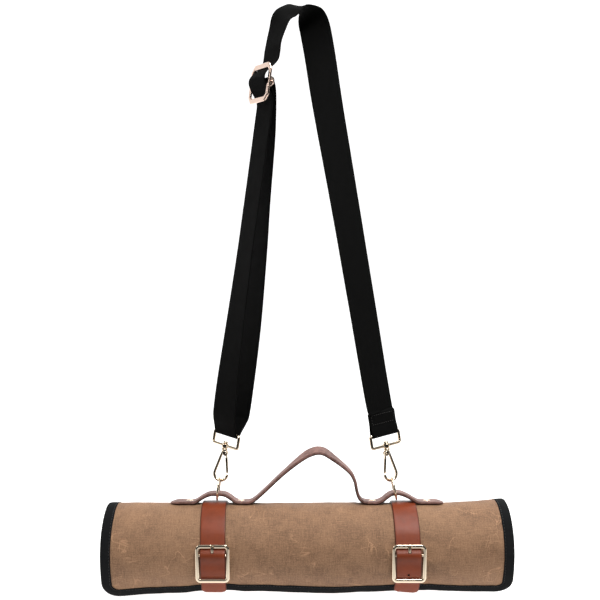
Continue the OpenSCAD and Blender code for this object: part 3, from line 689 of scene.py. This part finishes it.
def cheek(name, y, fr, body):
    out = [(-1.3, -21.5), (-1.2, -24.5), (0.2, -26.2), (2.0, -27.0), (3.8, -26.6), (4.7, -25.2), (4.7, -23.6), (3.6, -22.0), (2.4, -21.2), (0.5, -20.6)]
    o2 = cr(np.array(out + [out[0]]), 4)[:-1]
    m = len(o2); V = []; F = []
    prof = [(-0.7, 0.82), (-0.55, 0.97), (-0.3, 1.0), (0.3, 1.0), (0.55, 0.97), (0.7, 0.82)]
    c = o2.mean(0)
    for dy, k in prof:
        for p in o2:
            q = c + (p-c)*k; V.append((q[0], y+dy, q[1]))
    for i in range(len(prof)-1):
        for j in range(m):
            F.append((i*m+j, i*m+(j+1) % m, (i+1)*m+(j+1) % m, (i+1)*m+j))
    F.append(tuple(range(m))); F.append(tuple((len(prof)-1)*m+j for j in range(m)))
    o = build(name, to_world(np.array(V), fr), F, "gold", uv=[(v[0], v[2]) for v in V], body=body, slot="gold_metal")
    fix_normals(o)
hook("left", LB, 1, -12, 1)
hook("right", RB, -1, 24, -1)

def ring(side, c, tilt):
    a = np.linspace(0, 2*pi, 72, endpoint=False)
    t = radians(tilt)
    X = np.array([cos(t), 0, -sin(t)]); Z = np.array([sin(t), 0, cos(t)]); Y = np.array([0, 1.0, 0])
    P = np.array(c) + 13.2*(np.cos(a)[:, None]*Y + np.sin(a)[:, None]*Z)
    R = unit(P - np.array(c))
    o = sweep(side + "_ring_wire", P, R, np.broadcast_to(X, P.shape), circ(1.26, 20), "gold", closed=True, body=side + "_ring_body", rep=[side + "_ring"], slot="gold_metal")
    fix_normals(o)
ring("left", [-95.7, -11, -575.3], 6)
ring("right", [113.7, -11, -575.1], -12)

def slider():
    # local y points away from the viewer; the frame stands out in front of the webbing, which humps over the bar
    fr = place(np.array(SC) - 4.2*up_of(1, SL), 1, SL, -59)
    path = rrect_path(43.6, 40.5, 5.5, n=1, step=1.4)
    base = superell(2.4, 1.45, 4.2, 28)
    S = np.broadcast_to(base, (len(path),)+base.shape).copy()
    rail = smooth01v((np.abs(path[:, 1]) - 17)/4)
    S[:, :, 0] *= (1 + 0.32*rail)[:, None]
    closed_frame("slider_loop", path, fr, S, "rose", y=-10.3, body="slider", rep=["slider_frame", "slider_bar"], slot="gold_metal")
    for i, x in enumerate((-21.9, 21.9)):
        # side cheeks that carry the centre bar behind the webbing
        out = [(x, -9.7, 6.5), (x, -7.3, 5.0), (x, -4.9, 2.6), (x, -4.0, 0), (x, -4.9, -2.6), (x, -7.3, -5.0), (x, -9.7, -6.5)]
        V = []; F = []
        o2 = cr(np.array(out), 4); m = len(o2)
        prof = [(-1.9, 0.9), (-1.6, 1.0), (1.6, 1.0), (1.9, 0.9)]
        c = np.array([x, -7.1, 0])
        for dx, k in prof:
            for p in o2:
                q = c + (p-c)*k; V.append((x+dx, q[1], q[2]))
        for i2 in range(3):
            for j in range(m):
                F.append((i2*m+j, i2*m+(j+1) % m, (i2+1)*m+(j+1) % m, (i2+1)*m+j))
        F.append(tuple(range(m))); F.append(tuple(3*m+j for j in range(m)))
        o = build(f"slider_cheek_{i}", to_world(np.array(V), fr), F, "rose", uv=[(v[1], v[2]) for v in V], body="slider", slot="gold_metal")
        fix_normals(o); sharp(o, 45)
    rodmesh("slider_centre_bar", (-24.6, -6.2, 0), (24.6, -6.2, 0), 1.6, fr, "rose", body="slider", slot="gold_metal")
slider()

# ------------------------------------------------------------------ rolled canvas: a flat pattern (x, s) bent into the roll
RX0, RX1 = -226.8, 246.3
T_FULL, T_END, EDGE_S, ROLL_R, PITCH, F0 = 125.0, 845.0, 21.5, 50.0, 12.0, 35.0
def turn(t):
    """Point and outward normal (y, z, ny, nz) of the canvas's middle at turn angle t degrees; below 0, mm along the straight flap edge."""
    if t < 0:
        a = radians(F0)
        return (-ROLL_R*cos(a) - t*sin(a), -ROLL_R*sin(a) + t*cos(a), -cos(a), -sin(a))
    f = radians(t - F0); r = ROLL_R if t < T_FULL else ROLL_R - PITCH*(t - T_FULL)/360
    return (-r*cos(f), r*sin(f), -cos(f), sin(f))
TT = np.concatenate([np.linspace(-EDGE_S, 0, 12)[:-1], np.arange(0, T_END + 0.5, 1.0)])
TB = np.array([turn(t) for t in TT]); TS = np.concatenate([[0], np.cumsum(np.linalg.norm(np.diff(TB[:, :2], axis=0), axis=1))])
LEN = TS[-1]
def s_of(t): return float(np.interp(t, TT, TS))

# how far the flap's free edge reaches past or stops short of the straight edge, along the roll
gx = np.arange(-240.0, 261.0, 1.0)
ev = np.interp(gx, [-240, -202, -176, -114, -82, -30, 37, 80, 112, 147, 194, 223, 260], [1.0, 2.0, 0.8, -3.0, -4.6, -1.8, 0.6, -1.2, -3.3, -4.2, -2.8, -1.8, -1.6])
kern = np.exp(-0.5*(np.arange(-27, 28)/9.0)**2); kern /= kern.sum()
ev = np.convolve(np.pad(ev, 27, mode="edge"), kern, "valid")

# wrinkle field on a 3 mm grid, shared by every layer so that they never cross
WX = np.arange(RX0 - 3, RX1 + 6, 3.0); WS = np.arange(-6, LEN + 9, 3.0)
def smooth01(v): v = np.clip(v, 0, 1); return v*v*(3 - 2*v)
def wrinkle():
    D = np.zeros((len(WX), len(WS)))
    for i, x in enumerate(WX):
        for j, s in enumerate(WS):
            v = 1.1*noise.noise(Vector((x/75, s/60, 2.3)))
            v += 0.55*noise.noise(Vector((x/34, s/26, 9.1)))
            v += 0.22*noise.noise(Vector((x/13, s/12, 4.4)))
            # soft diagonal creases
            c = 1 - abs(noise.noise(Vector(((x + 0.7*s)/46, (s - 0.4*x)/90, 6.6))))*5
            v += 0.35*max(c, 0)
            D[i, j] = v
    X = WX[:, None]; S = WS[None, :]
    damp = np.ones_like(D)
    for xs in (-98.0, 126.0):                       # pressed flat under the closing straps, puffed a little beside them
        near = smooth01((np.abs(X - xs) - 15.5)/16)
        in_s = 1 - smooth01((S - 330)/30)
        damp *= 1 - (1 - near)*in_s
        D += 0.55*np.exp(-((np.abs(X - xs) - 34)/14)**2)*in_s
    under = np.maximum(((X > -156) & (X < -52)), ((X > 70) & (X < 176)))*np.exp(-((S - 130.6)/16)**4)
    damp *= 1 - under
    inner = 1 - 0.75*smooth01((S - 300)/80)
    D = np.where(D > 0, D, 0.8*D)*damp*inner
    # the free edge of the flap lifts and dips gently
    lift = smooth01((60 - S)/60)*(0.9*np.sin(X/31.0 + 0.6) + 0.5*np.sin(X/13.0))
    D += lift*np.minimum(damp, 1)*0.8
    D += 3.6*smooth01((X - 178)/70)*np.exp(-((S - 135)/75)**4)
    D += 3.0*smooth01((-150 - X)/60)*smooth01((45 - S)/45)
    return D
WD = wrinkle()
def bil(G, x, s):
    u = np.clip((x - WX[0])/3.0, 0, len(WX) - 1.001); v = np.clip((s - WS[0])/3.0, 0, len(WS) - 1.001)
    i = u.astype(int); j = v.astype(int); fu = u - i; fv = v - j
    fu = fu*fu*(3 - 2*fu)*0.35 + fu*0.65; fv = fv*fv*(3 - 2*fv)*0.35 + fv*0.65
    return G[i, j]*(1-fu)*(1-fv) + G[i+1, j]*fu*(1-fv) + G[i, j+1]*(1-fu)*fv + G[i+1, j+1]*fu*fv

def roll_map(x, s, h):
    """Flat pattern to space: x along the roll, s from the flap's edge, h out of the canvas's middle (mm arrays)."""
    x, s, h = np.broadcast_arrays(np.asarray(x, float), np.asarray(s, float), np.asarray(h, float))
    k = smooth01((70 - s)/70)
    se = s - np.interp(x, gx, ev)*k                 # a longer flap reaches further down
    sc = np.clip(se, 0, LEN)
    y, z, ny, nz = (np.interp(sc, TS, TB[:, q]) for q in range(4))
    a = radians(F0); over = np.minimum(se, 0)       # past the free edge, carry straight on
    y = y - over*sin(a); z = z + over*cos(a)
    over2 = np.maximum(se - LEN, 0)
    y = y + over2*nz*0; z = z + over2*0
    hh = h + bil(WD, x, s)
    return np.stack([x, ROLL[1] + y + ny*hh, ROLL[2] + z + nz*hh], -1)

CORNER = 20.0
def row_span(s, inset):
    r = CORNER - inset
    d = np.maximum(CORNER - s, 0); cutb = np.where(d > 0, r - np.sqrt(np.maximum(r*r - np.minimum(d, r)**2, 0)), 0)
    return RX0 + inset + cutb, RX1 - inset - cutb

def layer(name, mat, h0, h1, s_list, nx, inset, x_in=None, rep=None, slot=None):
    """A closed thin sheet between offsets h0 < h1 over the rows s_list."""
    S = np.asarray(s_list, float); n = len(S); u = np.linspace(0, 1, nx)
    a, b = row_span(S, inset) if x_in is None else (np.full(n, RX0 + x_in), np.full(n, RX1 - x_in))
    X = a[:, None] + (b - a)[:, None]*u[None, :]
    SS = np.broadcast_to(S[:, None], X.shape)
    top = roll_map(X, SS, h1).reshape(-1, 3); bot = roll_map(X, SS, h0).reshape(-1, 3)
    V = np.concatenate([top, bot]); U = np.stack([X.ravel(), SS.ravel()], 1); U = np.concatenate([U, U])
    m = n*nx; F = []
    for i in range(n-1):
        for j in range(nx-1):
            q = i*nx + j
            F.append((q, q+1, q+nx+1, q+nx)); F.append((m+q, m+q+nx, m+q+nx+1, m+q+1))
    for i in range(n-1):
        q = i*nx; F.append((q, q+nx, m+q+nx, m+q)); q += nx-1; F.append((q, m+q, m+q+nx, q+nx))
    for j in range(nx-1):
        q = j; F.append((q, m+q, m+q+1, q+1)); q = (n-1)*nx + j; F.append((q, q+1, m+q+1, m+q))
    o = build(name, V, F, mat, uv=U, body="roll", rep=rep or (), slot=slot)
    fix_normals(o); sharp(o, 60)
    return o

rows = np.concatenate([np.arange(2.0, 330, 2.5), np.arange(330, LEN - 2, 6.0), [LEN - 2]])
rows_l = np.concatenate([np.arange(2.0, 330, 5.0), np.arange(330, LEN - 2, 6.0), [LEN - 2]])
canvas = layer("waxed_canvas_sheet", "canvas", -0.8, 0.8, rows, 190, 2.0, rep=["outer_canvas"], slot="waxed_canvas")
lining = layer("lining_sheet", "lining", -1.75, -0.9, rows_l, 96, 2.0, rep=["canvas_lining"], slot="lining")
panel = layer("pocket_panel_sheet", "canvas", -3.5, -2.1, np.arange(s_of(300), s_of(800), 6.0), 70, 0, x_in=40, rep=["pocket_panel"], slot="lining")
flap_in = layer("inner_flap_sheet", "lining", -4.9, -3.9, np.arange(s_of(440), s_of(840), 6.0), 70, 0, x_in=30, rep=["inner_flap"], slot="lining")

# one ribbed tape folded over both ends and the flap's edge
def tape_path(step=2.4):
    P = []
    for s in np.arange(LEN - 0.5, CORNER, -step): P.append((RX0, s, 1, 0))
    for a in np.linspace(pi, 1.5*pi, 15): P.append((RX0 + CORNER + CORNER*cos(a), CORNER + CORNER*sin(a), -cos(a), -sin(a)))
    for x in np.arange(RX0 + CORNER + step, RX1 - CORNER, step): P.append((x, 0, 0, 1))
    for a in np.linspace(1.5*pi, 2*pi, 15): P.append((RX1 - CORNER + CORNER*cos(a), CORNER + CORNER*sin(a), -cos(a), -sin(a)))
    for s in np.arange(CORNER + step, LEN - 0.2, step): P.append((RX1, s, -1, 0))
    return np.array(P)
TP = tape_path()
TL = np.concatenate([[0], np.cumsum(np.linalg.norm(np.diff(TP[:, :2], axis=0), axis=1))])
tsec = [(10.9, 0.98), (11.15, 1.2), (10.8, 1.4), (9.2, 1.3), (7, 1.5), (4.5, 1.55), (2.2, 1.5), (1.0, 1.3), (0.35, 0.85), (0.0, 0.2), (-0.1, -0.5), (0.0, -1.2), (0.35, -1.85), (1.0, -2.3), (2.2, -2.42), (6, -2.42), (10.8, -2.4),
        (11.0, -2.1), (10.8, -1.87), (6, -1.87), (2.0, -1.85), (1.2, -1.5), (0.9, -0.5), (1.2, 0.5), (2.0, 0.93), (6, 0.96)]
def tape():
    sec = np.array(tsec)*(12/11, 1); m = len(sec); n = len(TP)
    wob = np.array([1 + 0.035*noise.noise(Vector((l/17, 0.4, 8.8))) + 0.02*noise.noise(Vector((l/5, 3.4, 1.8))) for l in TL])
    A = sec[None, :, 0]*np.where(sec[None, :, 0] > 5, wob[:, None], 1.0)
    x = TP[:, 0:1] + TP[:, 2:3]*A; s = TP[:, 1:2] + TP[:, 3:4]*A
    V = roll_map(x, s, np.broadcast_to(sec[None, :, 1], x.shape)).reshape(-1, 3)
    su = np.concatenate([[0], np.cumsum(np.linalg.norm(np.diff(sec, axis=0), axis=1))])
    U = np.stack([np.broadcast_to(su[None, :], (n, m)), np.broadcast_to(TL[:, None], (n, m))], 2).reshape(-1, 2)
    F = []
    for i in range(n-1):
        for j in range(m):
            k2 = (j+1) % m; F.append((i*m+j, i*m+k2, (i+1)*m+k2, (i+1)*m+j))
    # the two cut ends, as quads between facing points of the section
    for base in (0, (n-1)*m):
        for j in range(m//2 - 1):
            F.append((base+j, base+j+1, base+m-2-j, base+m-1-j))
    o = build("edge_binding_tape", V, F, "binding", uv=U, body="roll", rep=["left_end_binding", "right_end_binding", "flap_binding"], slot="binding")
    fix_normals(o); sharp(o, 70)
    return o
binding = tape()

def seam(name, A, h, mat, step=3.4, ln=2.4, r=0.24, sel=None):
    """Stitches along the tape, A mm in from the edge."""
    V = []; F = []; U = []; l = 1.0
    while l + ln < TL[-1]:
        pts = []
        for q in (l, l+ln):
            i = min(int(np.searchsorted(TL, q)), len(TL)-1); i0 = max(i-1, 0); f = (q - TL[i0])/max(TL[i]-TL[i0], 1e-6)
            p = TP[i0]*(1-f) + TP[i]*f
            x = p[0] + p[2]*A; s = p[1] + p[3]*A
            pts.append((roll_map(x, s, h), roll_map(x, s, h+1)))
        if sel is None or sel(l):
            n = unit(pts[0][1] - pts[0][0]); add_stitch(V, F, U, pts[0][0], pts[1][0], n, r)
        l += step
    o = build(name, V, F, mat, uv=U, body="roll"); fix_normals(o); return o
seam("binding_stitches", 10.2, 1.34, "thread")

# ------------------------------------------------------------------ carrying handle
BZ = -591.5
hp = [[-152.5, BZ], [-142, BZ], [-131, BZ], [-123, -591], [-114, -585.5], [-106, -582], [-97.5, -581.5], [-89, -582], [-82, -585.5],
  [-75, -590.5], [-69, BZ], [-61, BZ], [-56, -590.5], [-50, -586.5], [-40, -577.5], [-22, -560.5], [-4, -545], [8, -536], [16, -532], [23, -530.5], [31, -532],
  [42, -539.5], [54, -549], [62.5, -557.5], [67, -567], [69, -577], [71.5, -585], [76, -590], [82, BZ], [88, BZ], [94, BZ], [100, -589], [105, -585], [110, -581.8],
  [116, -580.5], [122, -581.2], [130, -584.5], [137, -588.5], [144, BZ], [160, BZ], [172.5, BZ]]
hp = np.array(hp)
hc = cr(np.stack([hp[:, 0], np.full(len(hp), ROLL[1]), hp[:, 1]], 1), 8)
HT = tang(hc); HW, HN = pframe(hc, (0, 1, 0))
# the raised grip turns its face a little towards the viewer at its top
tw = radians(17)*np.exp(-((hc[:, 0] - 22)/26)**2)
HW, HN = HW*np.cos(tw)[:, None] + HN*np.sin(tw)[:, None], HN*np.cos(tw)[:, None] - HW*np.sin(tw)[:, None]
HS = arclen(hc)
def handle_secs():
    base = round_sec(18, 3.5, r=0.9, nc=3, nw=10)
    S = np.broadcast_to(base, (len(hc),)+base.shape).copy()
    d = np.minimum(HS, HS[-1] - HS); q = np.clip(d/10.5, 0, 1)
    S[:, :, 0] *= (0.28 + 0.72*np.sqrt(1 - (1 - q)**2))[:, None]
    th = 0.5 + 0.5*smooth01(d/9)
    S[:, :, 1] = (S[:, :, 1] + 1.5)*th[:, None] - 1.5 + 0.1
    wv = np.array([1 + 0.03*noise.noise(Vector((l/15, 7.7, 0.3))) for l in HS]); S[:, :, 0] *= wv[:, None]
    # soft crease lines along the face, and a slightly pillowed middle
    S[:, :, 1] += np.where(S[:, :, 1] > 0.9, 0.25*(1 - (S[:, :, 0]/9)**2), 0)
    return S
HSEC = handle_secs()
def handle_piece(name, i0, i1, **kw):
    b = round_sec(18, 3.5, r=0.9, nc=3, nw=10)
    # UV x runs across the face and down the sides, and sits at 12.6 on the underside, where the handle material paints
    # shade
    su = np.where(b[:, 1] > 1.7, b[:, 0], np.where(b[:, 1] > -1.7, np.sign(b[:, 0])*(9 + 1.75 - b[:, 1]), np.sign(b[:, 0] + 1e-9)*12.6))
    o = sweep(name, hc[i0:i1+1], HW[i0:i1+1], HN[i0:i1+1], HSEC[i0:i1+1], "handle", su=su, **kw)
    fix_normals(o); sharp(o, 55)
    return o
iA = 11*8; iB = 28*8
handle_piece("handle_left_end", 0, iA, body="roll", rep=["handle_strip"], slot="handle_leather")
handle_piece("handle_right_end", iB, len(hc)-1, body="roll", slot="handle_leather")
grip = handle_piece("handle_grip_loop", iA, iB, rep=["handle_grip"], slot="handle_leather")
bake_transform(grip)

def rivet(name, B, Z, top, bottom, r, rep=(), dome=1.5):
    Z = unit(np.array(Z, float)); X = np.array([1.0, 0, 0]); Y = np.cross(Z, X); fr = (np.array(B, float), X, Y, Z)
    prof = [(0.2, bottom-0.1), (r*0.9, bottom), (r, bottom+0.3), (r*0.9, bottom+0.85), (1.45, bottom+0.9), (1.45, top-0.02), (r*0.93, top-0.02), (r, top+0.22), (r*0.97, top+0.5), (r*0.82, top+0.85), (r*0.55, top+1.12), (r*0.25, top+1.26), (0.15, top+1.3)]
    return lathe(name, prof, fr, "gold", 32, body="roll", rep=rep, slot="gold_metal")
for i, x in enumerate((-130, -69, 88, 153)):
    rivet(f"handle_rivet_{i}", (x, ROLL[1], ROLL[2]), (0, 0, 1), 53.98, 46.8, 4.5, rep=["handle_rivets"] if i == 0 else ())

# ------------------------------------------------------------------ closing straps and buckles
BF = radians(-6.9); BV = 53.7; BU = 10.0
def bk(u, v): return (u*sin(BF) - v*cos(BF), u*cos(BF) + v*sin(BF))
def tn(t, h):
    y, z, ny, nz = turn(t); return (y + h*ny, z + h*nz)
tp = [tn(t, 2.2) for t in range(250, 54, -6)]
tp += [bk(20.2, 48.9), bk(18, 50.4), bk(16.5, 51.8), bk(15.5, 53.2), bk(14.4, 55.2), bk(12.7, 57), bk(10, 57.9), bk(6.5, 57.2), bk(3, 55.9), bk(-1, 55), bk(-8, 54.4),
       bk(-13, 53.2), bk(-17, 51.2), bk(-20.3, 49.5), bk(-24, 47)]
tp += [tn(-q, 2.2 + 0.05*q) for q in (2, 5)] + [tn(-q, 2.8) for q in (9, 11, 13, 15, 16.5)]
def poly_smooth(P, step, it=2):
    """Even steps along a polyline with its corners eased, close to the given line."""
    P = np.array(P, float)
    P = resample(P, step)
    for _ in range(it):
        Q = P.copy(); Q[1:-1] = 0.25*P[:-2] + 0.5*P[1:-1] + 0.25*P[2:]; P = Q
    return P
def box_cut(x0, x1, quad, B):
    """A prism cutter across x0..x1 with the (y, z) outline quad."""
    V = [(x, B[1] + y, B[2] + z) for x in (x0, x1) for y, z in quad]; n = len(quad)
    F = [tuple(range(n-1, -1, -1)), tuple(range(n, 2*n))] + [(j, (j+1) % n, n+(j+1) % n, n+j) for j in range(n)]
    o = build("cutter", V, F, "hole"); fix_normals(o); return o
def buckle_fr(x):
    U = np.array([0, sin(BF), cos(BF)]); V = np.array([0, -cos(BF), sin(BF)])
    return (np.array([x, ROLL[1], ROLL[2]]), np.array([1.0, 0, 0]), -V, U)

def closing_strap(side, x, shift):
    """shift: x offsets at the back, the top, the buckle and the tail."""
    P2 = poly_smooth(tp, 1.1)
    L = arclen(np.concatenate([P2, np.zeros((len(P2), 1))], 1)); n = len(P2)
    ang = L/L[-1]
    dx = np.interp(ang, [0, 0.52, 0.78, 0.93, 1.0], shift)
    for _ in range(60): dx[1:-1] = 0.25*dx[:-2] + 0.5*dx[1:-1] + 0.25*dx[2:]
    P = np.stack([x + dx, ROLL[1] + P2[:, 0], ROLL[2] + P2[:, 1]], 1)
    W, N = pframe(P, (1, 0, 0))
    base = round_sec(29, 2.5, r=0.85, nc=4, nw=14)
    S = np.broadcast_to(base, (n,)+base.shape).copy()
    d = L[-1] - L; R = 5.0; q = np.clip(d/R, 0, 1)
    S[:, :, 0] *= ((14.5 - R + R*np.sqrt(1 - (1 - q)**2))/14.5)[:, None]
    k2 = (S[:, :, 0]/14.5)
    S[:, :, 1] += 0.12*np.where(S[:, :, 1] > 0, 1 - k2**2, 0)
    o = sweep(side + "_closing_strap", P, W, N, S, "strap", body="roll", rep=[side + "_tongue_strap"], slot="strap_leather")
    fix_normals(o)
    c = [box_cut(x-1.75, x+1.75, [bk(12.3, 53.0), bk(17.6, 50.2), bk(18.2, 55.1), bk(14.2, 60)], ROLL)]
    fr = buckle_fr(x + dx[int(0.84*n)])
    if side == "right": c.append(rodmesh("cutter", (0, -60, -13), (0, -48, -13), 1.45, fr, "hole", n=20))
    cut(o, *c)
    fix_normals(o); sharp(o, 40)
    return o
closing_strap("left", -98, [-2.0, -1.8, 0.6, 0.4, 0.2])
closing_strap("right", 126, [0.5, -1.8, -0.8, -0.3, -2.2])

def billet(side, x):
    bp = [bk(-13, 49.8), bk(-6, 51.15), bk(0, 51.5), bk(5, 51.25), bk(8.5, 51.5), bk(10.6, 51.7), bk(11.9, 52.9), bk(12, 54.3), bk(11, 55.5), bk(9.6, 55.65), bk(8.3, 54.9),
          bk(7, 53.6), bk(4, 53.1), bk(0, 52.85), bk(-6, 52.5), bk(-13, 51.2)]
    P2 = resample(np.array(bp), 0.7)
    P = np.stack([np.full(len(P2), float(x)), ROLL[1] + P2[:, 0], ROLL[2] + P2[:, 1]], 1)
    W, N = pframe(P, (1, 0, 0))
    o = sweep(side + "_billet_loop", P, W, N, round_sec(22, 1.1, r=0.35, nc=2, nw=8), "strap", body="roll", rep=[side + "_billet"], slot="strap_leather")
    fix_normals(o)
    cut(o, box_cut(x-2.4, x+2.4, [bk(6.3, 51), bk(14.5, 51), bk(14.5, 57), bk(6.3, 57)], ROLL))
    fix_normals(o); sharp(o, 40)
billet("left", -98); billet("right", 126)

def buckle(side, x):
    fr = buckle_fr(x)
    path = rrect_path(34.7, 40.5, 3.6, n=9, step=0.9)
    base = superell(2.17, 1.35, 2.3, 32)
    S = np.broadcast_to(base, (len(path),)+base.shape).copy()
    # top and bottom rails a hair wider; a notch for the prong in the top rail
    rail = (np.abs(np.abs(path[:, 1]) - 20.25) < 0.6)
    S[rail, :, 0] *= 1.035
    near = rail & (path[:, 1] > 0)
    dip = np.where(near, np.exp(-(path[:, 0]/2.1)**4), 0)
    S[:, :, 1] = np.where(S[:, :, 1] < 0, S[:, :, 1]*(1 - 0.42*dip[:, None]), S[:, :, 1])
    closed_frame(side + "_buckle_loop", path, fr, S, "gold", y=-53.7, body="roll", rep=[side + "_buckle_frame"], slot="gold_metal")
    rodmesh(side + "_buckle_axle", (-16.2, -BV, BU), (16.2, -BV, BU), 1.22, fr, "gold", body="roll", rep=[side + "_buckle_bar"], slot="gold_metal")
    # prong: an eye round the bar and a tapered arm that rests in the notch
    pb = side + "_prong_arm"
    fx = (fr[0] + BU*fr[3] - BV*fr[2], fr[2], fr[3], fr[1])     # local z along the bar
    lathe(side + "_prong_eye", [(1.34, -1.45), (2.2, -1.45), (2.38, -1.2), (2.38, 1.2), (2.2, 1.45), (1.34, 1.45)], fx, "gold", 28, ring=True, body=pb, rep=[side + "_prong"], slot="gold_metal")
    pts = cr(np.array([(10.2, 55.75), (12.5, 56.1), (15, 56.25), (18, 56.2), (20.4, 55.95), (22.2, 55.75)]), 5)
    P = np.stack([0*pts[:, 0], -pts[:, 1], pts[:, 0]], 1)
    T = tang(P); Wd = np.broadcast_to([1.0, 0, 0], T.shape); Nn = np.cross(T, Wd)
    f = np.linspace(0, 1, len(P)); sc = np.interp(f, [0, 0.15, 0.6, 0.93, 0.98, 1], [0.8, 1, 0.92, 0.8, 0.6, 0.3])
    g = sweep(side + "_prong_pin", to_world(P, fr), rot(Wd, fr), rot(Nn, fr), np.array([superell(1.5*q, 0.62*q, 2.6, 18) for q in sc]), "gold", body=pb, slot="gold_metal")
    fix_normals(g)
    y, z, ny, nz = turn(240)
    r = math.hypot(y, z)
    dxb = -2.0 if side == "left" else 0.5
    rivet(side + "_back_rivet", (x, ROLL[1], ROLL[2]), (0, ny, nz), r + 3.5, r - 3.2, 4.0, rep=["strap_rivets"] if side == "left" else ())
buckle("left", -98); buckle("right", 126)

# ------------------------------------------------------------------ carried-over CAD pieces
for n in ("left_gate_spring", "right_gate_spring"):
    o = bpy.data.objects.get(n)
    if o is not None:
        o.data.materials.clear(); o.data.materials.append(M["steel"])
